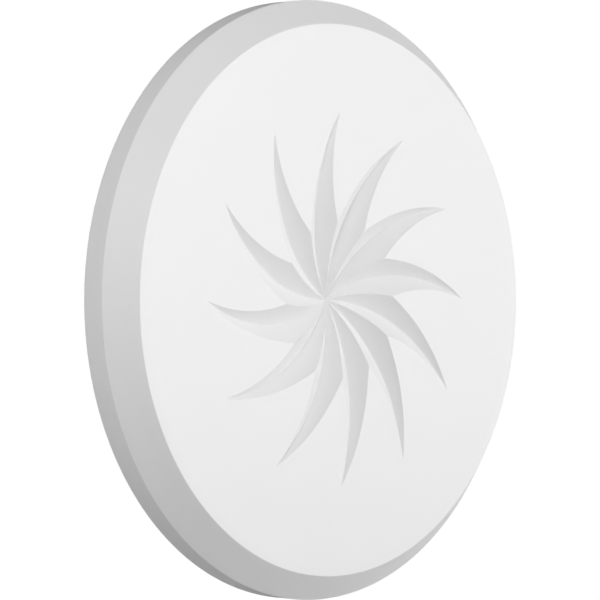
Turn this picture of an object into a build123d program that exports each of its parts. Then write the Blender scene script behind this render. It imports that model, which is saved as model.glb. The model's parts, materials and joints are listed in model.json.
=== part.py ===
from build123d import *
from math import cos, sin, radians, pi, sqrt, hypot
import os

# Round closed-face (plaque) ceiling diffuser, stood upright.
# The axis of the disc and of the duct is Y: the room side is -Y, the duct side is +Y, +Z is up.
# y = 0 is the ceiling's room-side surface, and the origin is on the axis there. Millimetres.

os.makedirs("parts", exist_ok=True)

# ---------------------------------------------------------------- driving dimensions
plaque_r = 152.4              # 12 in disc
plaque_t = 25.4               # 1 in thick
bevel = 12.7                  # 45 degree bevel round the front edge
wall = 3.0                    # moulded wall of the disc
air_gap = 12.0                # between the disc's back and the flange, at rest
travel = 9.0                  # the disc moves this far each way along the spindle

petals = 12
tip_angle = 90.1              # the first petal's tip, from +X towards +Z
tip_r = 95.5                  # tips of the petals
notch_r = 39.45               # where neighbouring petals meet on the face
relief_depth = 10.3           # at the centre
# stations along a petal's outline: radius, trailing edge and leading edge in degrees past its tip
outline = [(39.45, 2.69, 32.69), (47.24, 4.41, 25.90), (56.39, 5.04, 19.65), (65.53, 4.70, 14.33),
           (74.68, 3.71, 9.66), (83.82, 2.28, 5.26), (95.5, 0.0, 0.0)]
valley_turn = 0.3156          # degrees of sweep per mm of radius along the valley crease
ridge_turn = 0.3281           # and along the ridge between two petals
valley = [(0.0, 10.3), (10.7, 9.27), (22.9, 8.31), (38.1, 6.83), (53.3, 5.03), (68.6, 3.25), (82.3, 1.94), (95.5, 0.0)]
ridge = [(0.0, 10.3), (9.1, 7.57), (19.8, 4.94), (30.5, 2.33), (39.45, 0.0)]

flange_r = 130.0
sheet = 1.5                   # pressed steel sheet
gasket_t = 3.5
neck_in_r = 73.5              # inside of the spigot
mouth_r = 95.0                # where the flange turns into the bell mouth
neck_end = 55.0               # open end of the spigot
seal_y0, seal_y1 = 19.4, 24.6 # seat of the duct seal at the spigot's root
bead_w, bead_h = 2.4, 1.0     # rolled bead on each side of it

spindle_r = 6.0
thread_lead = 3.0             # the disc moves this far in one turn
run_clear = 0.05
nut_back = -2.0               # back end of the brass bush at rest
bridge_y = 20.0               # front of the bridge's plate
bridge_t = 2.0
bridge_angles = (0.0, 120.0, 240.0)

clip_angles = (0.0, 120.0, 240.0)
clip_pin_x, clip_pin_y = 101.2, 9.0
clip_rivet_r = 101.0

damper_y = 40.0               # axis of the damper's rod
rod_r = 2.5
knuckle_r = 4.0
flap_r = 69.8

# ---------------------------------------------------------------- places that follow from them
flange_front = -gasket_t - sheet
plaque_back = flange_front - air_gap
plaque_front = plaque_back - plaque_t
neck_r = neck_in_r + sheet
bell_y = flange_front + (mouth_r - neck_in_r)
cover_t = 2.0
cover_front = plaque_back - cover_t
screw_r = 128.0
hub_screw_r = 15.0


def front_plane(y):
    """Plane across the axis at y, facing the room: local x is X, local y is Z, extrusion goes to -Y."""
    return Plane(origin=(0, y, 0), x_dir=(1, 0, 0), z_dir=(0, -1, 0))


def side_plane(angle, offset=0.0):
    """Plane that holds the axis and the direction at angle: local x is the radius, local y is Y."""
    c, s = cos(radians(angle)), sin(radians(angle))
    return Plane(origin=(-s * offset, 0, c * offset), x_dir=(c, 0, s), z_dir=(-s, 0, c))


def radial_plane(angle, y, r):
    """Plane that faces outwards at angle, height y and radius r."""
    c, s = cos(radians(angle)), sin(radians(angle))
    return Plane(origin=(r * c, y, r * s), x_dir=(0, 1, 0), z_dir=(c, 0, s))


def keep(piece, name):
    piece.part.label = name
    export_step(piece.part, "parts/" + name + ".step")
    print(name, round(piece.part.volume), "mm3", len(piece.part.solids()), "solid(s)")


# ---------------------------------------------------------------- petal relief
def relief_point(r, degrees, depth):
    a = radians(tip_angle + degrees)
    return Vector(r * cos(a), plaque_front + depth, r * sin(a))


trailing_edge = Edge.make_spline([relief_point(r, t, 0) for r, t, l in outline])
leading_edge = Edge.make_spline([relief_point(r, l, 0) for r, t, l in outline])
valley_crease = Edge.make_spline([relief_point(r, valley_turn * (tip_r - r), d) for r, d in valley])
ridge_trailing = Edge.make_spline([relief_point(r, 2.69 + ridge_turn * (notch_r - r), d) for r, d in ridge])
ridge_leading = Edge.make_spline([relief_point(r, 32.69 + ridge_turn * (notch_r - r), d) for r, d in ridge])
trailing_wall = Face.make_surface([trailing_edge, ridge_trailing, valley_crease])
leading_wall = Face.make_surface([leading_edge, ridge_leading, valley_crease])
axis_out = Axis((0, 0, 0), (0, -1, 0))
relief_faces, relief_rim = [], []
for k in range(petals):
    turn = 360.0 / petals * k
    relief_faces += [trailing_wall.rotate(axis_out, turn), leading_wall.rotate(axis_out, turn)]
    relief_rim += [trailing_edge.rotate(axis_out, turn), leading_edge.rotate(axis_out, turn)]
relief_faces.append(Face(Wire(relief_rim)))
relief = Solid(Shell(relief_faces))

# ---------------------------------------------------------------- plaque
cavity_floor = plaque_front + wall
with BuildPart() as plaque_face:
    # outer form less the hollow behind it, as one revolved section
    with BuildSketch(Plane.XY):
        with BuildLine():
            Polyline(
                (0, plaque_front), (plaque_r - bevel, plaque_front), (plaque_r, plaque_front + bevel), (plaque_r, plaque_back),
                (plaque_r - wall, plaque_back), (plaque_r - wall, cover_front), (plaque_r - 2 * wall, cover_front),
                (plaque_r - 2 * wall, plaque_front + bevel + 1.5), (plaque_r - bevel - 4.5, cavity_floor), (100.0, cavity_floor),
                (82.3, plaque_front + 1.94 + wall), (68.6, plaque_front + 3.25 + wall), (53.3, plaque_front + 5.03 + wall),
                (38.1, plaque_front + 6.83 + wall), (22.9, plaque_front + 8.31 + wall), (10.7, plaque_front + 9.27 + wall),
                (0, plaque_front + relief_depth + wall), (0, plaque_front))
        make_face()
    revolve(axis=Axis.Y)
    # twelve stiffening ribs, up to the foam pad
    for k in range(12):
        with BuildSketch(side_plane(30.0 * k)):
            with BuildLine():
                Polyline((30, cover_front - 5.5), (plaque_r - 2 * wall + 0.2, cover_front - 5.5), (plaque_r - 2 * wall + 0.2, plaque_front + bevel),
                         (plaque_r - bevel - 3.5, plaque_front + 2.2), (30, plaque_front + 2.2), (30, cover_front - 5.5))
            make_face()
        extrude(amount=1.0, both=True)
    # ring rib that ties them together
    with BuildSketch(front_plane(cover_front - 5.5)):
        Circle(31)
        Circle(29, mode=Mode.SUBTRACT)
    extrude(amount=cover_front - 5.5 - plaque_front - 2.0)
    # screw bosses
    with BuildSketch(front_plane(cover_front)):
        with PolarLocations(screw_r, 6, start_angle=30):
            Circle(4.5)
    extrude(amount=cover_front - cavity_floor)
    with BuildSketch(front_plane(cover_front)):
        with PolarLocations(screw_r, 6, start_angle=30):
            Circle(1.5)
    extrude(amount=12.0, mode=Mode.SUBTRACT)
    add(relief, mode=Mode.SUBTRACT)
keep(plaque_face, "plaque_face")

with BuildPart() as plaque_back_cover:
    with BuildSketch(front_plane(plaque_back)):
        Circle(plaque_r - wall - 0.3)
        Circle(10.3, mode=Mode.SUBTRACT)
        with PolarLocations(screw_r, 6, start_angle=30):
            Circle(1.8, mode=Mode.SUBTRACT)
        with PolarLocations(hub_screw_r, 3, start_angle=90):
            Circle(1.7, mode=Mode.SUBTRACT)
    extrude(amount=cover_t)
keep(plaque_back_cover, "plaque_back_cover")

with BuildPart() as plaque_insulation:
    with BuildSketch(front_plane(cover_front)):
        Circle(121)
        Circle(24, mode=Mode.SUBTRACT)
    extrude(amount=5.0)
keep(plaque_insulation, "plaque_insulation")

with BuildPart() as cover_screws:
    with BuildSketch(front_plane(plaque_back + 1.8)):
        with PolarLocations(screw_r, 6, start_angle=30):
            Circle(3.0)
    extrude(amount=1.8)
    fillet(cover_screws.edges().filter_by(GeomType.CIRCLE).group_by(Axis.Y)[-1], 0.9)
    with BuildSketch(front_plane(plaque_back + 0.1)):
        with PolarLocations(screw_r, 6, start_angle=30):
            Circle(1.45)
    extrude(amount=12.6)
    # cross recesses
    with BuildSketch(front_plane(plaque_back + 1.9)):
        with PolarLocations(screw_r, 6, start_angle=30):
            Rectangle(3.2, 0.7)
            Rectangle(0.7, 3.2)
    extrude(amount=1.1, mode=Mode.SUBTRACT)
keep(cover_screws, "cover_screws")

nut_front = cover_front - 3.0
with BuildPart() as spindle_nut:
    with BuildSketch(front_plane(cover_front)):
        Circle(20)
    extrude(amount=3.0)
    with BuildSketch(front_plane(nut_back)):
        Circle(10)
    extrude(amount=nut_back - cover_front + 0.5)
    chamfer(spindle_nut.edges().filter_by(GeomType.CIRCLE).group_by(Axis.Y)[-1], 0.8)
    with BuildSketch(front_plane(nut_back)):
        Circle(spindle_r + run_clear)
    extrude(amount=nut_back - nut_front, mode=Mode.SUBTRACT)
    with BuildSketch(front_plane(cover_front)):
        with PolarLocations(hub_screw_r, 3, start_angle=90):
            Circle(1.5)
    extrude(amount=3.0, mode=Mode.SUBTRACT)
keep(spindle_nut, "spindle_nut")

with BuildPart() as hub_screws:
    with BuildSketch(front_plane(plaque_back + 1.8)):
        with PolarLocations(hub_screw_r, 3, start_angle=90):
            Circle(2.8)
    extrude(amount=1.8)
    fillet(hub_screws.edges().filter_by(GeomType.CIRCLE).group_by(Axis.Y)[-1], 0.9)
    with BuildSketch(front_plane(plaque_back + 0.1)):
        with PolarLocations(hub_screw_r, 3, start_angle=90):
            Circle(1.45)
    extrude(amount=5.6)
    with BuildSketch(front_plane(plaque_back + 1.9)):
        with PolarLocations(hub_screw_r, 3, start_angle=90):
            Rectangle(3.0, 0.7)
            Rectangle(0.7, 3.0)
    extrude(amount=1.1, mode=Mode.SUBTRACT)
keep(hub_screws, "hub_screws")

with BuildPart() as closing_seal:
    with BuildSketch(Plane.XY):
        with BuildLine():
            Polyline((112, plaque_back), (120, plaque_back), (119.2, plaque_back + 2.7), (112.8, plaque_back + 2.7), (112, plaque_back))
        make_face()
    revolve(axis=Axis.Y)
keep(closing_seal, "closing_seal")

# ---------------------------------------------------------------- spindle and its support
spindle_front, spindle_back = -18.5, 31.0
nut_h, washer_t = 5.0, 1.2
front_washer_y = bridge_y                      # back face of the front washer
front_nut_y = front_washer_y - washer_t        # back face of the front nut
rear_washer_y = bridge_y + bridge_t + washer_t
rear_nut_y = rear_washer_y + nut_h

with BuildPart() as spindle:
    with BuildSketch(front_plane(spindle_back)):
        Circle(spindle_r)
    extrude(amount=spindle_back - spindle_front)
    chamfer(spindle.edges().filter_by(GeomType.CIRCLE), 0.8)
    # keyway for the thrust cup
    with BuildSketch(front_plane(front_nut_y - nut_h)):
        with Locations((0, spindle_r)):
            Rectangle(2.2, 2.4)
    extrude(amount=front_nut_y - nut_h - spindle_front + 1, mode=Mode.SUBTRACT)
    # screwdriver slot in the rear end
    with BuildSketch(front_plane(spindle_back)):
        Rectangle(2 * spindle_r + 2, 1.4)
    extrude(amount=2.0, mode=Mode.SUBTRACT)
keep(spindle, "spindle")

with BuildPart() as thrust_cup:
    with BuildSketch(Plane.XY):
        with BuildLine():
            Polyline((spindle_r + 0.1, nut_back + 0.05), (11.6, nut_back + 0.05), (11.6, nut_back + 3.5), (10.6, nut_back + 3.5),
                     (10.6, nut_back + 1.55), (spindle_r + 0.1, nut_back + 1.55), (spindle_r + 0.1, nut_back + 0.05))
        make_face()
    revolve(axis=Axis.Y)
    # key
    with BuildSketch(front_plane(nut_back + 1.55)):
        with Locations((0, spindle_r + 0.25)):
            Rectangle(1.9, 2.3)
    extrude(amount=1.5)
keep(thrust_cup, "thrust_cup")

cup_floor = nut_back + 1.55
spring_end = front_nut_y - nut_h
spring_wire, spring_mean = 1.0, 8.2
spring_low, spring_high = cup_floor + spring_wire / 2 + 0.02, spring_end - spring_wire / 2 - 0.02
with BuildPart() as anti_rattle_spring:
    with BuildLine() as spring_path:
        Helix(pitch=(spring_high - spring_low) / 4.0, height=spring_high - spring_low, radius=spring_mean,
              center=(0, spring_low, 0), direction=(0, 1, 0))
    with BuildSketch(Plane(origin=spring_path.line @ 0, z_dir=spring_path.line % 0)):
        Circle(spring_wire / 2)
    sweep(path=spring_path.line, is_frenet=True)
keep(anti_rattle_spring, "anti_rattle_spring")

with BuildPart() as spindle_lock_nuts:
    for back_face in (front_nut_y, rear_nut_y):
        with BuildSketch(front_plane(back_face)):
            RegularPolygon(radius=9.0, side_count=6, major_radius=False, rotation=10)
            Circle(spindle_r + 0.02, mode=Mode.SUBTRACT)
        extrude(amount=nut_h)
keep(spindle_lock_nuts, "spindle_lock_nuts")

with BuildPart() as spindle_washers:
    for back_face in (front_washer_y, rear_washer_y):
        with BuildSketch(front_plane(back_face)):
            Circle(12.0)
            Circle(spindle_r + 0.2, mode=Mode.SUBTRACT)
        extrude(amount=washer_t)
keep(spindle_washers, "spindle_washers")

tab_out = sqrt(neck_in_r ** 2 - 7.0 ** 2) - 0.1      # flat tab inside the round neck
tab_rivet_y = bridge_y + 10.0
with BuildPart() as support_bridge:
    with BuildSketch(front_plane(bridge_y + bridge_t)):
        Circle(17)
        for angle in bridge_angles:
            with Locations(Location((0, 0, 0), (0, 0, angle))):
                with Locations((tab_out / 2, 0)):
                    Rectangle(tab_out, 14)
        Circle(spindle_r + 0.2, mode=Mode.SUBTRACT)
    extrude(amount=bridge_t)
    for angle in bridge_angles:
        with BuildSketch(side_plane(angle)):
            with Locations((tab_out - 0.85, bridge_y + 6.75)):
                Rectangle(1.7, 13.5)
        extrude(amount=7.0, both=True)
        with BuildSketch(radial_plane(angle, tab_rivet_y, tab_out - 4)):
            Circle(1.65)
        extrude(amount=6.0, mode=Mode.SUBTRACT)
        # stiffening groove pressed along the arm
        with BuildSketch(front_plane(bridge_y)):
            with Locations(Location((0, 0, 0), (0, 0, angle))):
                with Locations((42, 0)):
                    SlotOverall(36, 4.0)
        extrude(amount=-0.8, mode=Mode.SUBTRACT)
keep(support_bridge, "support_bridge")

with BuildPart() as bridge_rivets:
    for angle in bridge_angles:
        with BuildSketch(radial_plane(angle, tab_rivet_y, tab_out - 1.7 - 0.8)):
            Circle(3.0)
        extrude(amount=0.8)
        with BuildSketch(radial_plane(angle, tab_rivet_y, tab_out - 1.9)):
            Circle(1.6)
        extrude(amount=neck_r - 0.6 - tab_out + 1.9)
        # head flush with the outside of the spigot
        with BuildSketch(radial_plane(angle, tab_rivet_y, neck_r - 0.8)):
            Circle(2.4)
        extrude(amount=0.72)
keep(bridge_rivets, "bridge_rivets")

# ---------------------------------------------------------------- frame and seals
with BuildPart() as diffuser_body:
    with BuildSketch(Plane.XY):
        with BuildLine():
            Polyline((neck_in_r, bell_y), (neck_in_r, neck_end), (neck_r, neck_end), (neck_r, seal_y1 + bead_w), (neck_r + bead_h, seal_y1 + bead_w - 0.7),
                     (neck_r + bead_h, seal_y1 + 0.7), (neck_r, seal_y1), (neck_r, seal_y0), (neck_r + bead_h, seal_y0 - 0.7),
                     (neck_r + bead_h, seal_y0 - bead_w + 0.7), (neck_r, seal_y0 - bead_w), (neck_r, bell_y))
            RadiusArc((neck_r, bell_y), (mouth_r, flange_front + sheet), -(mouth_r - neck_r))
            Line((mouth_r, flange_front + sheet), (flange_r - sheet, flange_front + sheet))
            Line((flange_r - sheet, flange_front + sheet), (flange_r - sheet, -0.5))
            Line((flange_r - sheet, -0.5), (flange_r, -0.5))
            Line((flange_r, -0.5), (flange_r, flange_front + 2.0))
            RadiusArc((flange_r, flange_front + 2.0), (flange_r - 2.0, flange_front), 2.0)
            Line((flange_r - 2.0, flange_front), (mouth_r, flange_front))
            RadiusArc((mouth_r, flange_front), (neck_in_r, bell_y), mouth_r - neck_in_r)
        make_face()
    revolve(axis=Axis.Y)
    # holes for the bridge's rivets, the clips' rivets and the damper's bushes
    for angle in bridge_angles:
        with BuildSketch(radial_plane(angle, tab_rivet_y, neck_in_r - 3)):
            Circle(1.65)
        extrude(amount=8.0, mode=Mode.SUBTRACT)
        # seat of the rivet's flush head
        with BuildSketch(radial_plane(angle, tab_rivet_y, neck_r - 0.8)):
            Circle(2.45)
        extrude(amount=3.0, mode=Mode.SUBTRACT)
    for angle in clip_angles:
        for side in (-5.0, 5.0):
            with BuildSketch(front_plane(0.0)):
                with Locations(Location((0, 0, 0), (0, 0, angle))):
                    with Locations((clip_rivet_r, side)):
                        Circle(1.65)
            extrude(amount=8.0, mode=Mode.SUBTRACT)
    for angle in (90.0, 270.0):
        with BuildSketch(radial_plane(angle, damper_y, neck_in_r - 3)):
            Circle(4.0)
        extrude(amount=8.0, mode=Mode.SUBTRACT)
keep(diffuser_body, "diffuser_body")

with BuildPart() as ceiling_gasket:
    with BuildSketch(front_plane(0.0)):
        Circle(flange_r - sheet - 1.0)
        Circle(108, mode=Mode.SUBTRACT)
    extrude(amount=gasket_t)
keep(ceiling_gasket, "ceiling_gasket")

with BuildPart() as duct_seal:
    with BuildSketch(Plane.XY):
        with BuildLine():
            Polyline((neck_r, seal_y0 + 0.1), (neck_r, seal_y1 - 0.1), (neck_r + 1.1, seal_y1 - 0.3), (neck_r + 1.1, seal_y0 + 4.5),
                     (neck_r + 3.1, seal_y0 + 3.7), (neck_r + 3.1, seal_y0 + 3.3), (neck_r + 1.1, seal_y0 + 3.7), (neck_r + 1.1, seal_y0 + 2.2),
                     (neck_r + 3.1, seal_y0 + 1.4), (neck_r + 3.1, seal_y0 + 1.0), (neck_r + 1.1, seal_y0 + 1.4), (neck_r + 1.1, seal_y0 + 0.3),
                     (neck_r, seal_y0 + 0.1))
        make_face()
    revolve(axis=Axis.Y)
keep(duct_seal, "duct_seal")

# ---------------------------------------------------------------- ceiling clips
bracket_x0, bracket_x1, bracket_top = 95.8, 104.4, 15.0
plate = 1.5
flange_back = flange_front + sheet


def wire_spring(points, radius):
    """Round wire swept along a smooth line through the points."""
    line = Edge.make_spline([Vector(*p) for p in points])
    with BuildPart() as wire:
        with BuildSketch(Plane(origin=line @ 0, z_dir=line % 0)):
            Circle(radius)
        sweep(path=line, is_frenet=False)
    return wire


for number, angle in enumerate(clip_angles, start=1):
    with BuildPart() as clip_bracket:
        with BuildSketch(side_plane(angle)):
            with BuildLine():
                Polyline((bracket_x0, flange_back), (bracket_x1, flange_back), (bracket_x1, bracket_top - 3), (bracket_x1 - 3, bracket_top),
                         (bracket_x0, bracket_top), (bracket_x0, flange_back))
            make_face()
        extrude(amount=11.0, both=True)
        with BuildSketch(side_plane(angle)):
            with BuildLine():
                Polyline((bracket_x0 + plate, flange_back + plate), (bracket_x1 + 1, flange_back + plate), (bracket_x1 + 1, bracket_top + 1),
                         (bracket_x0 + plate, bracket_top + 1), (bracket_x0 + plate, flange_back + plate))
            make_face()
        extrude(amount=11.0 - plate, both=True, mode=Mode.SUBTRACT)
        with BuildSketch(side_plane(angle)):
            with Locations((clip_pin_x, clip_pin_y)):
                Circle(2.02)
        extrude(amount=14.0, both=True, mode=Mode.SUBTRACT)
        with BuildSketch(front_plane(flange_back + plate + 0.5)):
            with Locations(Location((0, 0, 0), (0, 0, angle))):
                with Locations((clip_rivet_r, -5.0), (clip_rivet_r, 5.0)):
                    Circle(1.65)
        extrude(amount=4.0, mode=Mode.SUBTRACT)
    keep(clip_bracket, "clip_bracket_%d" % number)

    with BuildPart() as clip_arm:
        # rolled eye, strip and curled tip
        with BuildSketch(side_plane(angle)):
            with Locations((clip_pin_x, clip_pin_y)):
                Circle(3.4)
            with BuildLine():
                Polyline((clip_pin_x, clip_pin_y + 2.2), (106.5, clip_pin_y + 2.2), (106.5, clip_pin_y + 3.4), (clip_pin_x, clip_pin_y + 3.4),
                         (clip_pin_x, clip_pin_y + 2.2))
            make_face()
            with Locations((clip_pin_x, clip_pin_y)):
                Circle(2.05, mode=Mode.SUBTRACT)
        extrude(amount=3.5, both=True)
        with BuildSketch(side_plane(angle)):
            with BuildLine():
                Polyline((106.0, clip_pin_y + 2.2), (123.0, clip_pin_y + 2.2), (125.2, clip_pin_y + 4.2), (124.4, clip_pin_y + 5.2),
                         (122.4, clip_pin_y + 3.4), (106.0, clip_pin_y + 3.4), (106.0, clip_pin_y + 2.2))
            make_face()
        extrude(amount=6.0, both=True)
    keep(clip_arm, "clip_arm_%d" % number)

    with BuildPart() as clip_pad:
        with BuildSketch(side_plane(angle)):
            with BuildLine():
                Polyline((111.0, clip_pin_y + 2.2), (122.0, clip_pin_y + 2.2), (122.0, clip_pin_y + 0.4), (121.2, clip_pin_y - 0.3),
                         (111.8, clip_pin_y - 0.3), (111.0, clip_pin_y + 0.4), (111.0, clip_pin_y + 2.2))
            make_face()
        extrude(amount=6.4, both=True)
    keep(clip_pad, "clip_pad_%d" % number)

    # torsion spring beside the eye: one leg on the bracket's back wall, one over the arm
    c, s = cos(radians(angle)), sin(radians(angle))

    def place(x, y, t):
        return (x * c - t * s, y, x * s + t * c)

    coil_r, coil_pitch, coil_turns, coil_t0 = 2.9, 1.12, 3.25, 4.4
    steps = 39
    route = [place(clip_pin_x - coil_r, y, coil_t0) for y in (clip_pin_y - 7.5, clip_pin_y - 5.0, clip_pin_y - 2.5)]
    for i in range(steps + 1):
        turned = 360.0 * coil_turns * i / steps
        a = radians(180.0 - turned)
        route.append(place(clip_pin_x + coil_r * cos(a), clip_pin_y + coil_r * sin(a), coil_t0 + coil_pitch * turned / 360.0))
    last_t = coil_t0 + coil_pitch * coil_turns
    route += [place(clip_pin_x + 2.5, clip_pin_y + 3.2, last_t + 0.05), place(clip_pin_x + 6.0, clip_pin_y + 3.9, last_t), place(clip_pin_x + 8.6, clip_pin_y + 4.2, last_t - 0.6),
              place(clip_pin_x + 9.6, clip_pin_y + 4.25, last_t - 2.2), place(clip_pin_x + 9.7, clip_pin_y + 4.25, last_t - 4.6), place(clip_pin_x + 9.7, clip_pin_y + 4.25, last_t - 7.0)]
    clip_spring = wire_spring(route, 0.5)
    keep(clip_spring, "clip_spring_%d" % number)

with BuildPart() as clip_rivets:
    for angle in clip_angles:
        for y0, t, r in ((flange_back + plate + 0.02 + 0.8, 0.8, 2.8), (flange_back + plate + 0.5, plate + sheet + 1.0, 1.6), (flange_front, 0.8, 2.8)):
            with BuildSketch(front_plane(y0)):
                with Locations(Location((0, 0, 0), (0, 0, angle))):
                    with Locations((clip_rivet_r, -5.0), (clip_rivet_r, 5.0)):
                        Circle(r)
            extrude(amount=t)
keep(clip_rivets, "clip_rivets")

with BuildPart() as clip_pins:
    for angle in clip_angles:
        with BuildSketch(side_plane(angle)):
            with Locations((clip_pin_x, clip_pin_y)):
                Circle(2.0)
        extrude(amount=11.8, both=True)
        for offset, depth in ((11.05, 0.9), (-11.05, -0.9)):
            with BuildSketch(side_plane(angle, offset)):
                with Locations((clip_pin_x, clip_pin_y)):
                    Circle(2.9)
            extrude(amount=depth)
keep(clip_pins, "clip_pins")

# ---------------------------------------------------------------- damper
rod_half = 74.85
with BuildPart() as damper_rod:
    with BuildSketch(Plane.XY.offset(-rod_half)):
        with Locations((0, damper_y)):
            Circle(rod_r)
    extrude(amount=2 * rod_half)
    chamfer(damper_rod.edges().filter_by(GeomType.CIRCLE), 0.4)
    # clip grooves
    for z0 in (-71.45, 70.55):
        with BuildSketch(Plane.XY.offset(z0)):
            with Locations((0, damper_y)):
                Circle(rod_r + 1)
                Circle(2.0, mode=Mode.SUBTRACT)
        extrude(amount=0.9, mode=Mode.SUBTRACT)
keep(damper_rod, "damper_rod")

bush_seat = sqrt(neck_in_r ** 2 - 6.0 ** 2) - 0.03
with BuildPart() as damper_bushes:
    for angle in (90.0, 270.0):
        with BuildSketch(radial_plane(angle, damper_y, bush_seat - 1.4)):
            Circle(6.0)
            Circle(rod_r + run_clear, mode=Mode.SUBTRACT)
        extrude(amount=1.4)
        with BuildSketch(radial_plane(angle, damper_y, bush_seat - 0.1)):
            Circle(3.95)
            Circle(rod_r + run_clear, mode=Mode.SUBTRACT)
        extrude(amount=74.8 - bush_seat + 0.1)
keep(damper_bushes, "damper_bushes")

with BuildPart() as damper_rod_clips:
    for z0 in (-71.4, 70.6):
        with BuildSketch(Plane.XY.offset(z0)):
            with Locations((0, damper_y)):
                Circle(4.6)
                Circle(2.05, mode=Mode.SUBTRACT)
            with Locations((0, damper_y - 3.5)):
                Rectangle(2.6, 5.0, mode=Mode.SUBTRACT)
        extrude(amount=0.8)
keep(damper_rod_clips, "damper_rod_clips")

knuckles_left = ((-69.0, -40.0), (-12.0, 12.0), (40.0, 69.0))
knuckles_right = ((-39.0, -13.0), (13.0, 39.0))
for name, side, knuckles in (("damper_flap_left", -1, knuckles_left), ("damper_flap_right", 1, knuckles_right)):
    with BuildPart() as flap:
        # half-round blade, folded back along the duct
        with BuildSketch(Plane(origin=(side * 4.0, damper_y, 0), x_dir=(0, 1, 0), z_dir=(-side, 0, 0))):
            Circle(flap_r)
            with Locations((-flap_r / 2 + 2.3, 0)):
                Rectangle(flap_r + 4.6, 2 * flap_r + 2, mode=Mode.SUBTRACT)
        extrude(amount=1.0)
        for z0, z1 in knuckles:
            with BuildSketch(Plane.XY.offset(z0)):
                with Locations((0, damper_y)):
                    Circle(knuckle_r)
                with Locations((side * 3.5, damper_y + 3.5)):
                    Rectangle(1.0, 7.0)
                with Locations((0, damper_y)):
                    Circle(rod_r + run_clear, mode=Mode.SUBTRACT)
            extrude(amount=z1 - z0)
        # pressed stiffening rib across the blade
        with BuildSketch(Plane(origin=(side * 4.0, damper_y, 0), x_dir=(0, 1, 0), z_dir=(side, 0, 0))):
            with Locations((30, 0)):
                Rectangle(2.4, 96)
        extrude(amount=0.8, taper=25)
    keep(flap, name)
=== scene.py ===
import bpy, bmesh, json, math
from mathutils import Vector, Matrix


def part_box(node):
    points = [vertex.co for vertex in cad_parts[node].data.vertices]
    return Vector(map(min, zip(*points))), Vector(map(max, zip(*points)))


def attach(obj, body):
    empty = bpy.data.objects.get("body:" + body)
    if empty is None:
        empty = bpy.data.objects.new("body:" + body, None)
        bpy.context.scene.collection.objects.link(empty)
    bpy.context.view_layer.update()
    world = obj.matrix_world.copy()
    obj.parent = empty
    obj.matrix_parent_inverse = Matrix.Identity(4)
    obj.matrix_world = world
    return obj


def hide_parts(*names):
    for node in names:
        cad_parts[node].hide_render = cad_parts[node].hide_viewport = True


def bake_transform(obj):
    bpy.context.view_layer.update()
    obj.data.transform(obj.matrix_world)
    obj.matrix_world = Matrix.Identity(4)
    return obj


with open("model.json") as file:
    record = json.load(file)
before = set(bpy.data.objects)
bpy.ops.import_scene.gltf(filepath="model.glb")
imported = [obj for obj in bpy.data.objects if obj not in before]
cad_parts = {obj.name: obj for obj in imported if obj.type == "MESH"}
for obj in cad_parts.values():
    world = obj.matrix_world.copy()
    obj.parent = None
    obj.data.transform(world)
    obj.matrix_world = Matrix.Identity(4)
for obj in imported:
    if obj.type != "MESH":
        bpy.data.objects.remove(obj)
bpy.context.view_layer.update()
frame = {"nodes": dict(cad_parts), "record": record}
N = frame["nodes"]

# ---------------------------------------------------------------- sizes, in metres (those of the CAD part)
R = 0.1524
T = 0.0254
BEV = 0.0127
lo_face, hi_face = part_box("plaque_face")
Y_FRONT = lo_face.y if hasattr(lo_face, "y") else lo_face[1]
Y_BACK = hi_face.y if hasattr(hi_face, "y") else hi_face[1]
TIP = math.radians(90.1)
TIP_R, NOTCH_R, DEPTH = 0.0955, 0.03945, 0.0103
PET = 12

# stations of a petal: radius (mm), trailing and leading edge (degrees past the tip)
OUT_R = [39.45, 47.24, 56.39, 65.53, 74.68, 83.82, 95.5]
OUT_T = [2.69, 4.41, 5.04, 4.70, 3.71, 2.28, 0.0]
OUT_L = [32.69, 25.90, 19.65, 14.33, 9.66, 5.26, 0.0]
VAL_R = [0.0, 10.7, 22.9, 38.1, 53.3, 68.6, 82.3, 95.5]
VAL_D = [10.3, 9.27, 8.31, 6.83, 5.03, 3.25, 1.94, 0.0]
RID_R = [0.0, 9.1, 19.8, 30.5, 39.45]
RID_D = [10.3, 7.57, 4.94, 2.33, 0.0]


def natural_spline(xs, ys):
    """Natural cubic spline through the points, as a function."""
    n = len(xs)
    h = [xs[i + 1] - xs[i] for i in range(n - 1)]
    a = [0.0] * n; b = [1.0] * n; c = [0.0] * n; d = [0.0] * n
    for i in range(1, n - 1):
        a[i] = h[i - 1]; b[i] = 2 * (h[i - 1] + h[i]); c[i] = h[i]
        d[i] = 6 * ((ys[i + 1] - ys[i]) / h[i] - (ys[i] - ys[i - 1]) / h[i - 1])
    for i in range(1, n):
        m = a[i] / b[i - 1]
        b[i] -= m * c[i - 1]; d[i] -= m * d[i - 1]
    m2 = [0.0] * n
    for i in range(n - 2, 0, -1):
        m2[i] = (d[i] - c[i] * m2[i + 1]) / b[i]

    def f(x):
        x = min(max(x, xs[0]), xs[-1])
        i = 0
        while i < n - 2 and x > xs[i + 1]:
            i += 1
        u, v = xs[i + 1] - x, x - xs[i]
        return (m2[i] * u ** 3 + m2[i + 1] * v ** 3) / (6 * h[i]) + (ys[i] / h[i] - m2[i] * h[i] / 6) * u + (ys[i + 1] / h[i] - m2[i + 1] * h[i] / 6) * v
    return f


trail = natural_spline(OUT_R, OUT_T)
lead = natural_spline(OUT_R, OUT_L)
vdep = natural_spline(VAL_R, VAL_D)
rdep = natural_spline(RID_R, RID_D)


def link(ob):
    bpy.context.scene.collection.objects.link(ob)
    return ob


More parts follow.
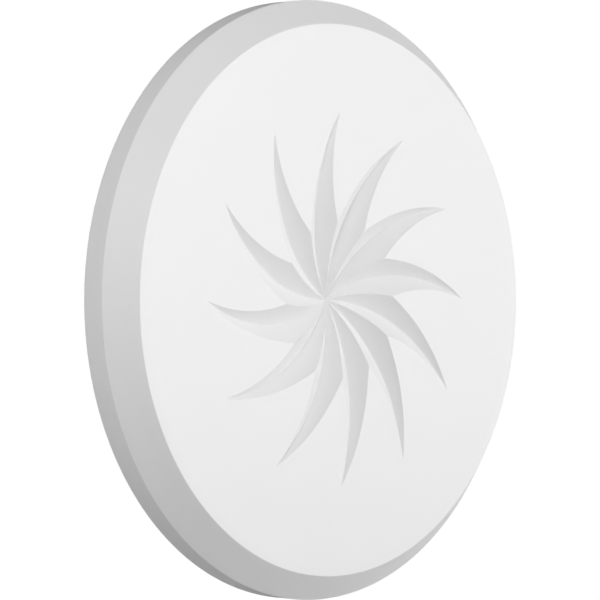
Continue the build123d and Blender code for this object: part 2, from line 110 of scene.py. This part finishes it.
def mesh_object(name, verts, faces, smooth=True, sharp=None):
    me = bpy.data.meshes.new(name)
    me.from_pydata(verts, [], faces)
    me.validate()
    me.update()
    if smooth:
        for p in me.polygons:
            p.use_smooth = True
    if sharp:
        for e in me.edges:
            if tuple(sorted(e.vertices)) in sharp:
                e.use_edge_sharp = True
    return link(bpy.data.objects.new(name, me))


# ---------------------------------------------------------------- the moulded plaque
def build_plaque():
    verts, index, faces, sharp = [], {}, [], set()

    def vid(r, ang, y):
        p = (r * math.cos(ang), y, r * math.sin(ang))
        k = (round(p[0] * 1e6), round(p[1] * 1e6), round(p[2] * 1e6))
        if k not in index:
            index[k] = len(verts)
            verts.append(p)
        return index[k]

    M, F = 12, 24            # columns across one wall of a petal, and across the face between two petals
    RINGS_IN, RINGS_OUT = 26, 54
    radii = [NOTCH_R * (i / RINGS_IN) ** 0.9 for i in range(RINGS_IN)] + \
            [NOTCH_R + (TIP_R - NOTCH_R) * i / RINGS_OUT for i in range(RINGS_OUT + 1)]
    radii[0] = 0.0

    def ring(r):
        """Column angles (past the tip, degrees) and depths of one petal's sector, with the creases at columns 0, M
        and 2M.
        """
        rm = r * 1000
        v_ang = 48.1 / 152.4 * (95.5 - rm)
        v_dep = max(vdep(rm), 0.0)
        if r < NOTCH_R - 1e-9:
            t_ang = 2.69 + 50.0 / 152.4 * (39.45 - rm)
            l_ang = t_ang + 30.0
            e_dep = max(rdep(rm), 0.0)
        else:
            t_ang, l_ang, e_dep = trail(rm), lead(rm), 0.0
        if r >= TIP_R - 1e-9:
            t_ang = l_ang = v_ang = 0.0
            v_dep = 0.0
        cols = []
        for j in range(M):
            u = j / M
            cols.append((t_ang + (v_ang - t_ang) * u, e_dep + (v_dep - e_dep) * u))
        for j in range(M):
            u = 1 - j / M
            cols.append((l_ang + (v_ang - l_ang) * u, e_dep + (v_dep - e_dep) * u))
        nxt = 30.0 + t_ang
        for j in range(F):
            cols.append((l_ang + (nxt - l_ang) * j / F, e_dep))
        return cols

    prev = None
    for r in radii:
        row = []
        for k in range(PET):
            for ang, dep in ring(r):
                row.append(vid(r, TIP + math.radians(30.0 * k + ang), Y_FRONT + dep * 0.001))
        if prev:
            n = len(row)
            for i in range(n):
                j = (i + 1) % n
                f = []
                for q in (prev[i], prev[j], row[j], row[i]):
                    if q not in f:
                        f.append(q)
                if len(f) >= 3:
                    faces.append(f)
            per = 2 * M + F
            for k in range(PET):
                for c in (0, M, 2 * M):
                    a, b = prev[k * per + c], row[k * per + c]
                    if a != b:
                        sharp.add(tuple(sorted((a, b))))
        prev = row
    # outside of the petals: one column for each distinct vertex of the last ring
    rim, seen = [], set()
    for q in prev:
        if q not in seen:
            seen.add(q)
            rim.append(q)
    angs = [math.atan2(verts[q][2], verts[q][0]) for q in rim]
    # profile of the rest, from the petals' tips round the bevel to the back and into the hollow; a small radius on each outside corner
    prof = []

    def corner(p0, p1, p2, rad, n=4):
        d0 = Vector(p0) - Vector(p1); d1 = Vector(p2) - Vector(p1)
        d0.normalize(); d1.normalize()
        half = d0.angle(d1) / 2
        back = rad / math.tan(half)
        c = Vector(p1) + (d0 + d1).normalized() * (rad / math.sin(half))
        a, b = Vector(p1) + d0 * back, Vector(p1) + d1 * back
        for i in range(n + 1):
            t = i / n
            v = (a - c).lerp(b - c, t)
            v.normalize()
            prof.append(tuple(c + v * rad))

    A, B, C, D = (R - BEV, Y_FRONT), (R, Y_FRONT + BEV), (R, Y_BACK), (R - 0.003, Y_BACK)
    for i in range(1, 10):
        prof.append((TIP_R + (R - BEV - 0.002 - TIP_R) * i / 9, Y_FRONT))
    corner((TIP_R, Y_FRONT), A, B, 0.0005)
    for i in range(1, 8):
        prof.append((A[0] + BEV * i / 8, A[1] + BEV * i / 8))
    corner(A, B, C, 0.0005)
    for i in range(1, 5):
        prof.append((R, Y_FRONT + BEV + (Y_BACK - Y_FRONT - BEV) * i / 5))
    corner(B, C, D, 0.0004)
    inner = [(R - 0.003, Y_BACK), (R - 0.003, Y_BACK - 0.002), (R - 0.006, Y_BACK - 0.002), (R - 0.006, Y_FRONT + BEV + 0.0015),
             (R - BEV - 0.0045, Y_FRONT + 0.003), (0.1, Y_FRONT + 0.003), (0.0823, Y_FRONT + 0.00494), (0.0533, Y_FRONT + 0.00803),
             (0.0229, Y_FRONT + 0.01131)]
    first_inner = len(prof)
    prof += inner
    last = rim
    for pi, (pr, py) in enumerate(prof):
        cur = [vid(pr, a, py) for a in angs]
        for i in range(len(cur)):
            j = (i + 1) % len(cur)
            faces.append([last[i], last[j], cur[j], cur[i]])
            if pi >= first_inner and pi < first_inner + 4:
                sharp.add(tuple(sorted((cur[i], cur[j]))))
        last = cur
    centre = len(verts)
    verts.append((0.0, Y_FRONT + 0.0133, 0.0))
    for i in range(len(last)):
        faces.append([last[i], last[(i + 1) % len(last)], centre])
    ob = mesh_object("plaque_moulding", verts, faces, True, sharp)
    bm = bmesh.new()
    bm.from_mesh(ob.data)
    bmesh.ops.recalc_face_normals(bm, faces=bm.faces)
    bm.to_mesh(ob.data)
    bm.free()
    return ob


plaque = build_plaque()


# ---------------------------------------------------------------- wires and springs
def tube(name, pts, rad, seg=14, closed_ends=True):
    """Round wire along a dense list of points."""
    verts, faces = [], []
    n = len(pts)
    tang = []
    for i in range(n):
        a, b = pts[max(i - 1, 0)], pts[min(i + 1, n - 1)]
        tang.append((b - a).normalized())
    up = tang[0].orthogonal().normalized()
    for i in range(n):
        t = tang[i]
        up = (up - t * up.dot(t)).normalized()
        side = t.cross(up)
        for j in range(seg):
            a = 2 * math.pi * j / seg
            verts.append(tuple(pts[i] + (up * math.cos(a) + side * math.sin(a)) * rad))
    for i in range(n - 1):
        for j in range(seg):
            k = (j + 1) % seg
            faces.append([i * seg + j, i * seg + k, (i + 1) * seg + k, (i + 1) * seg + j])
    faces.append(list(range(seg))[::-1])
    faces.append([(n - 1) * seg + j for j in range(seg)])
    ob = mesh_object(name, verts, faces, True)
    bm = bmesh.new(); bm.from_mesh(ob.data)
    bmesh.ops.recalc_face_normals(bm, faces=bm.faces)
    for e in bm.edges:
        if len(e.link_faces) == 2 and e.calc_face_angle(0) > math.radians(50):
            e.smooth = False
    bm.to_mesh(ob.data); bm.free()
    return ob


def catmull(pts, step=6):
    out = []
    P = [Vector(p) for p in pts]
    for i in range(len(P) - 1):
        p0, p1, p2, p3 = P[max(i - 1, 0)], P[i], P[i + 1], P[min(i + 2, len(P) - 1)]
        for s in range(step):
            t = s / step
            out.append(0.5 * ((2 * p1) + (p2 - p0) * t + (2 * p0 - 5 * p1 + 4 * p2 - p3) * t * t + (3 * p1 - p0 - 3 * p2 + p3) * t ** 3))
    out.append(P[-1])
    return out


# anti-rattle spring: closed end coils, open in between
slo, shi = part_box("anti_rattle_spring")
y0, y1 = slo[1] + 0.0005, shi[1] - 0.0005
pts = []
turns, steps = 4.0, 240
for i in range(steps + 1):
    u = i / steps
    w = u * turns
    # the first and last turn lie flat
    if w < 0.9:
        yy = y0 + 0.00105 * w / 0.9 * 0.9
    elif w > turns - 0.9:
        yy = y1 - 0.00105 * (turns - w) / 0.9 * 0.9
    else:
        yy = y0 + 0.00095 + (y1 - y0 - 0.0019) * (w - 0.9) / (turns - 1.8)
    a = 2 * math.pi * w
    pts.append(Vector((0.0082 * math.cos(a), yy, 0.0082 * math.sin(a))))
spring = tube("spindle_coil_spring", pts, 0.0005, 12)

# torsion springs of the clips: one leg on the bracket's back wall, the coil round the pin, the other leg over the arm
PIN_X, PIN_Y, COIL_R, COIL_PITCH, COIL_TURNS, COIL_T0 = 101.2, 9.0, 2.9, 1.12, 3.25, 4.4
torsion = []
for number, angle in enumerate((0.0, 120.0, 240.0), start=1):
    ca, sa = math.cos(math.radians(angle)), math.sin(math.radians(angle))

    def place(x, y, t):
        return Vector((x * ca - t * sa, y, x * sa + t * ca)) * 0.001

    route = [place(PIN_X - COIL_R, yy, COIL_T0) for yy in (PIN_Y - 7.5, PIN_Y - 5.0, PIN_Y - 2.5)]
    for i in range(40):
        turned = 360.0 * COIL_TURNS * i / 39
        a = math.radians(180.0 - turned)
        route.append(place(PIN_X + COIL_R * math.cos(a), PIN_Y + COIL_R * math.sin(a), COIL_T0 + COIL_PITCH * turned / 360.0))
    last_t = COIL_T0 + COIL_PITCH * COIL_TURNS
    for dx, dy, dt in ((2.5, 3.2, 0.05), (6.0, 3.9, 0.0), (8.6, 4.2, -0.6), (9.6, 4.25, -2.2), (9.7, 4.25, -4.6), (9.7, 4.25, -7.0)):
        route.append(place(PIN_X + dx, PIN_Y + dy, last_t + dt))
    wire = tube("clip_torsion_spring_%d" % number, catmull(route, 5), 0.0005, 12)
    torsion.append((number, wire, place(PIN_X + 0.75, PIN_Y, 0.75), place(PIN_X + 4.0, PIN_Y, 4.0)))

# threaded spindle
def build_spindle():
    r0, crest, root, pitch = 0.0060, 0.0060, 0.0053, 0.0015
    ya, yb = -0.0185, 0.031
    seg, n = 48, 330
    verts, faces = [], []
    for i in range(n + 1):
        y = ya + (yb - ya) * i / n
        for j in range(seg):
            a = 2 * math.pi * j / seg
            ph = ((y - ya) / pitch + a / (2 * math.pi)) % 1.0
            tri = 1 - abs(2 * ph - 1)
            prof = min(max((tri - 0.15) / 0.6, 0), 1)
            edge = min((y - ya) / 0.0009, (yb - y) / 0.0009, 1.0)
            r = root + (crest - root) * prof
            r = min(r, 0.0051 + 0.0009 * max(edge, 0))
            # keyway, as deep as the cup's key
            x, z = r * math.cos(a), r * math.sin(a)
            if abs(x) < 0.00115 and z > 0 and y < 0.0138:
                z = min(z, 0.0048)
            verts.append((x, y, z))
    for i in range(n):
        for j in range(seg):
            k = (j + 1) % seg
            faces.append([i * seg + j, i * seg + k, (i + 1) * seg + k, (i + 1) * seg + j])
    faces.append(list(range(seg))[::-1])
    faces.append([n * seg + j for j in range(seg)])
    ob = mesh_object("threaded_spindle", verts, faces, True)
    bm = bmesh.new(); bm.from_mesh(ob.data)
    bmesh.ops.recalc_face_normals(bm, faces=bm.faces)
    bm.to_mesh(ob.data); bm.free()
    ob.data.set_sharp_from_angle(angle=math.radians(35))
    return ob


spindle = build_spindle()

# ---------------------------------------------------------------- materials
def new_mat(name):
    m = bpy.data.materials.new(name)
    m.use_nodes = True
    nt = m.node_tree
    b = nt.nodes["Principled BSDF"]
    tc = nt.nodes.new("ShaderNodeTexCoord")
    return m, nt, b, tc


def node(nt, kind, **kw):
    n = nt.nodes.new(kind)
    for k, v in kw.items():
        if k.startswith("in_"):
            n.inputs[k[3:].replace("_", " ")].default_value = v
        else:
            setattr(n, k, v)
    return n


def ramp(nt, src, stops):
    r = nt.nodes.new("ShaderNodeValToRGB")
    el = r.color_ramp.elements
    el[0].position, el[0].color = stops[0][0], stops[0][1]
    el[1].position, el[1].color = stops[-1][0], stops[-1][1]
    for p, c in stops[1:-1]:
        e = el.new(p)
        e.color = c
    nt.links.new(src, r.inputs["Fac"])
    return r


def grey(v, a=1.0):
    return (v, v, v, a)


def bump_chain(nt, b, heights):
    """heights: list of (socket, strength, distance)."""
    prev = None
    for s, st, dist in heights:
        bp = nt.nodes.new("ShaderNodeBump")
        bp.inputs["Strength"].default_value = st
        bp.inputs["Distance"].default_value = dist
        nt.links.new(s, bp.inputs["Height"])
        if prev:
            nt.links.new(prev.outputs["Normal"], bp.inputs["Normal"])
        prev = bp
    nt.links.new(prev.outputs["Normal"], b.inputs["Normal"])


def white_surface(name, base, rough, peel=0.0006, peel_strength=0.06, grain=0.00018, grain_strength=0.05, spec=0.35, coat=0.0, dust=0.03):
    """Pale moulded or coated surface: base colour, slight tone drift with dust darkening at random, fine grain."""
    m, nt, b, tc = new_mat(name)
    drift = node(nt, "ShaderNodeTexNoise", in_Scale=9.0, in_Detail=3.0, in_Roughness=0.5)
    fine = node(nt, "ShaderNodeTexNoise", in_Scale=1.0 / grain, in_Detail=2.0, in_Roughness=0.6)
    wave = node(nt, "ShaderNodeTexNoise", in_Scale=1.0 / peel / 6.0, in_Detail=2.0, in_Roughness=0.4)
    for t in (drift, fine, wave):
        nt.links.new(tc.outputs["Object"], t.inputs["Vector"])
    lo = tuple(c * (1 - dust) for c in base)
    cr = ramp(nt, drift.outputs["Fac"], [(0.3, (*lo, 1)), (0.7, (*base, 1))])
    nt.links.new(cr.outputs["Color"], b.inputs["Base Color"])
    rr = ramp(nt, fine.outputs["Fac"], [(0.3, grey(rough - 0.04)), (0.7, grey(rough + 0.05))])
    nt.links.new(rr.outputs["Color"], b.inputs["Roughness"])
    b.inputs["Specular IOR Level"].default_value = spec
    if coat:
        b.inputs["Coat Weight"].default_value = coat
        b.inputs["Coat Roughness"].default_value = 0.25
    bump_chain(nt, b, [(wave.outputs["Fac"], peel_strength, peel), (fine.outputs["Fac"], grain_strength, grain)])
    return m


def metal(name, base, rough, brushed=None, spangle=False, stains=0.15, turned=False):
    m, nt, b, tc = new_mat(name)
    b.inputs["Metallic"].default_value = 1.0
    heights = []
    blot = node(nt, "ShaderNodeTexNoise", in_Scale=45.0, in_Detail=4.0, in_Roughness=0.6)
    nt.links.new(tc.outputs["Object"], blot.inputs["Vector"])
    lo = tuple(c * (1 - stains) for c in base)
    if spangle:
        vor = node(nt, "ShaderNodeTexVoronoi", in_Scale=160.0)
        nt.links.new(tc.outputs["Object"], vor.inputs["Vector"])
        sep = node(nt, "ShaderNodeSeparateColor")
        nt.links.new(vor.outputs["Color"], sep.inputs["Color"])
        mix = node(nt, "ShaderNodeMath", operation="MULTIPLY_ADD")
        nt.links.new(sep.outputs["Red"], mix.inputs[0])
        mix.inputs[1].default_value = 0.3
        nt.links.new(blot.outputs["Fac"], mix.inputs[2])
        src = mix.outputs["Value"]
        cr = ramp(nt, src, [(0.35, (*lo, 1)), (1.0, (*base, 1))])
        rr = ramp(nt, src, [(0.35, grey(rough + 0.12)), (1.0, grey(rough - 0.05))])
        heights.append((sep.outputs["Green"], 0.05, 0.0002))
    else:
        cr = ramp(nt, blot.outputs["Fac"], [(0.3, (*lo, 1)), (0.75, (*base, 1))])
        rr = ramp(nt, blot.outputs["Fac"], [(0.3, grey(rough + 0.1)), (0.75, grey(max(rough - 0.05, 0.05)))])
    nt.links.new(cr.outputs["Color"], b.inputs["Base Color"])
    nt.links.new(rr.outputs["Color"], b.inputs["Roughness"])
    if brushed:
        mp = node(nt, "ShaderNodeMapping")
        mp.inputs["Scale"].default_value = brushed
        nt.links.new(tc.outputs["Object"], mp.inputs["Vector"])
        st = node(nt, "ShaderNodeTexNoise", in_Scale=1.0, in_Detail=3.0, in_Roughness=0.7)
        nt.links.new(mp.outputs["Vector"], st.inputs["Vector"])
        heights.append((st.outputs["Fac"], 0.12, 0.00008))
    micro = node(nt, "ShaderNodeTexNoise", in_Scale=2600.0, in_Detail=2.0)
    nt.links.new(tc.outputs["Object"], micro.inputs["Vector"])
    heights.append((micro.outputs["Fac"], 0.06, 0.00005))
    bump_chain(nt, b, heights)
    return m


def foam(name, base, cell=0.0008):
    m, nt, b, tc = new_mat(name)
    vor = node(nt, "ShaderNodeTexVoronoi", in_Scale=1.0 / cell)
    vor.feature = "F1"
    noi = node(nt, "ShaderNodeTexNoise", in_Scale=70.0, in_Detail=4.0)
    for t in (vor, noi):
        nt.links.new(tc.outputs["Object"], t.inputs["Vector"])
    cr = ramp(nt, vor.outputs["Distance"], [(0.0, (*(c * 1.25 for c in base), 1)), (0.6, (*(c * 0.7 for c in base), 1))])
    nt.links.new(cr.outputs["Color"], b.inputs["Base Color"])
    rr = ramp(nt, noi.outputs["Fac"], [(0.3, grey(0.8)), (0.7, grey(0.95))])
    nt.links.new(rr.outputs["Color"], b.inputs["Roughness"])
    b.inputs["Specular IOR Level"].default_value = 0.2
    bump_chain(nt, b, [(vor.outputs["Distance"], 0.5, 0.0003), (noi.outputs["Fac"], 0.2, 0.0004)])
    return m


def rubber(name, base, rough=0.6):
    m, nt, b, tc = new_mat(name)
    noi = node(nt, "ShaderNodeTexNoise", in_Scale=60.0, in_Detail=5.0, in_Roughness=0.6)
    fine = node(nt, "ShaderNodeTexNoise", in_Scale=2400.0, in_Detail=2.0)
    for t in (noi, fine):
        nt.links.new(tc.outputs["Object"], t.inputs["Vector"])
    cr = ramp(nt, noi.outputs["Fac"], [(0.35, (*base, 1)), (0.75, (*(c * 1.7 + 0.01 for c in base), 1))])
    nt.links.new(cr.outputs["Color"], b.inputs["Base Color"])
    rr = ramp(nt, noi.outputs["Fac"], [(0.3, grey(rough - 0.08)), (0.7, grey(rough + 0.1))])
    nt.links.new(rr.outputs["Color"], b.inputs["Roughness"])
    b.inputs["Specular IOR Level"].default_value = 0.35
    bump_chain(nt, b, [(fine.outputs["Fac"], 0.15, 0.0001)])
    return m


MAT = {
    "white_moulding": white_surface("moulded_white", (0.90, 0.90, 0.90), 0.50, peel=0.0012, peel_strength=0.02, grain=0.00022, grain_strength=0.05, spec=0.3, dust=0.012),
    "white_sheet": white_surface("powder_coat_white", (0.80, 0.80, 0.80), 0.42, peel=0.0005, peel_strength=0.12, grain=0.0002, grain_strength=0.06, spec=0.45, dust=0.05),
    "cover_steel": white_surface("powder_coat_cover", (0.76, 0.76, 0.765), 0.45, peel=0.0005, peel_strength=0.14, grain=0.0002, grain_strength=0.06, spec=0.45, dust=0.06),
    "white_nylon": white_surface("natural_nylon", (0.78, 0.77, 0.72), 0.38, peel=0.0006, peel_strength=0.04, grain=0.00012, grain_strength=0.05, spec=0.5, dust=0.05),
    "grey_foam": foam("grey_closed_cell_foam", (0.20, 0.20, 0.21)),
    "seal_foam": foam("black_seal_foam", (0.055, 0.055, 0.058), 0.0006),
    "black_rubber": rubber("black_rubber", (0.022, 0.022, 0.023)),
    "brass_bush": metal("turned_brass", (0.78, 0.58, 0.30), 0.28, brushed=(40, 3500, 40), stains=0.25),
    "zinc_screws": metal("zinc_screw", (0.66, 0.67, 0.68), 0.30, stains=0.18),
    "zinc_steel": metal("zinc_plated_steel", (0.62, 0.63, 0.65), 0.30, stains=0.18),
    "galvanised_steel": metal("galvanised_sheet", (0.60, 0.62, 0.64), 0.38, spangle=True),
    "spring_steel": metal("spring_steel_wire", (0.46, 0.47, 0.49), 0.30, stains=0.2),
    "aluminium_rivets": metal("rivet_aluminium", (0.76, 0.77, 0.78), 0.34, stains=0.12),
}

slot_of = {s["node"]: s["material_slot"] for s in frame["record"]["subparts"]}
for name, ob in N.items():
    m = MAT[slot_of[name]]
    if not ob.material_slots:
        ob.data.materials.append(m)
    for s in ob.material_slots:
        s.material = m

for piece, slot, body, old in ((plaque, "white_moulding", "plaque", "plaque_face"),
                               (spring, "spring_steel", "frame", "anti_rattle_spring"),
                               (spindle, "zinc_steel", "frame", "spindle")):
    piece.data.materials.append(MAT[slot])
    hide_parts(old)
    if piece is spring:
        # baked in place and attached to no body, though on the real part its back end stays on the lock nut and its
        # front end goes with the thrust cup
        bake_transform(piece)
    else:
        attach(piece, body)
for number, wire, start, end in torsion:
    wire.data.materials.append(MAT["spring_steel"])
    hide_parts("clip_spring_%d" % number)
    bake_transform(wire)

# ---------------------------------------------------------------- camera
AZ = math.radians(46.525)
DIST = 10.1623 * R
back_centre = Vector((0, Y_BACK, 0))
cam_data = bpy.data.cameras.new("camera")
cam = link(bpy.data.objects.new("camera", cam_data))
cam.location = back_centre + Vector((-math.sin(AZ), -math.cos(AZ), 0)) * DIST
cam.rotation_euler = (back_centre - cam.location).to_track_quat("-Z", "Y").to_euler()
cam_data.sensor_width = 36.0
cam_data.lens = 3022.29 / 600 * 36.0
cam_data.shift_x = -4.07 / 600
cam_data.shift_y = 0.0
cam_data.clip_start, cam_data.clip_end = 0.05, 50
bpy.context.scene.camera = cam

# ---------------------------------------------------------------- light and floor
FLOOR_Z = -0.45


def area(name, azimuth, elevation, dist, size, power):
    """Soft round light; azimuth 0 is in front of the face, positive towards +X."""
    d = bpy.data.lights.new(name, "AREA")
    d.shape = "DISK"
    d.size = size
    d.energy = power
    ob = link(bpy.data.objects.new(name, d))
    az, el = math.radians(azimuth), math.radians(elevation)
    v = Vector((math.sin(az) * math.cos(el), -math.cos(az) * math.cos(el), math.sin(el)))
    ob.location = v * dist
    ob.rotation_euler = (-v).to_track_quat("-Z", "Y").to_euler()
    ob.visible_camera = False
    return ob


LIGHTS = {
    "key_top": (-32, 52, 2.3, 0.8, 2.2),
    "key_left": (-51, 25, 1.1, 0.4, 3.6),
    "front_right": (52, -3, 5.0, 1.2, 124.0),
    "top_near": (-5, 70, 1.6, 0.5, 2.7),
    "back_right": (165, 14, 2.8, 1.0, 22.0),
    "back_centre": (184, 6, 3.0, 1.0, 9.0),
}
for n, spec in LIGHTS.items():
    area(n, *spec)
# wide soft boxes that hang over the floor round the object and face straight down
for n, x, y, power in (("floor_wash_1", -1.7, 1.7, 6.0), ("floor_wash_2", 1.8, -1.8, 6.0),
                       ("floor_wash_3", 1.8, 1.7, 2.8), ("floor_wash_4", -1.8, -1.6, 2.8)):
    wash = area(n, 0, 0, 1.0, 2.2, power)
    wash.location = (x, y, 1.5)
    wash.rotation_euler = (0, 0, 0)
    wash.data.spread = math.radians(85)
far_wash = area("floor_wash_5", 0, 0, 1.0, 1.7, 5.0)
far_wash.location = (-2.65, 0.0, 1.5)
far_wash.rotation_euler = (0, 0, 0)
far_wash.data.spread = math.radians(80)

world = bpy.data.worlds.new("studio")
bpy.context.scene.world = world
world.use_nodes = True
wn = world.node_tree
bg = wn.nodes["Background"]
wtc = wn.nodes.new("ShaderNodeTexCoord")
sepw = wn.nodes.new("ShaderNodeSeparateXYZ")
wn.links.new(wtc.outputs["Generated"], sepw.inputs["Vector"])
wr = ramp(wn, sepw.outputs["Z"], [(0.0, grey(1.0)), (0.13, grey(1.0)), (0.21, grey(0.03)), (1.0, grey(0.03))])
wn.links.new(wr.outputs["Color"], bg.inputs["Color"])
bg.inputs["Strength"].default_value = 1.01

bpy.ops.mesh.primitive_circle_add(vertices=96, radius=2.6, fill_type="NGON", location=(0, 0, FLOOR_Z))
floor = bpy.context.object
floor.name = "floor"
fm, fnt, fb, ftc = new_mat("pale_floor")
fb.inputs["Base Color"].default_value = (0.70, 0.70, 0.70, 1)
fb.inputs["Roughness"].default_value = 0.9
fb.inputs["Specular IOR Level"].default_value = 0.1
floor.data.materials.append(fm)

bpy.context.scene.view_settings.view_transform = "Standard"
bpy.context.scene.view_settings.look = "None"
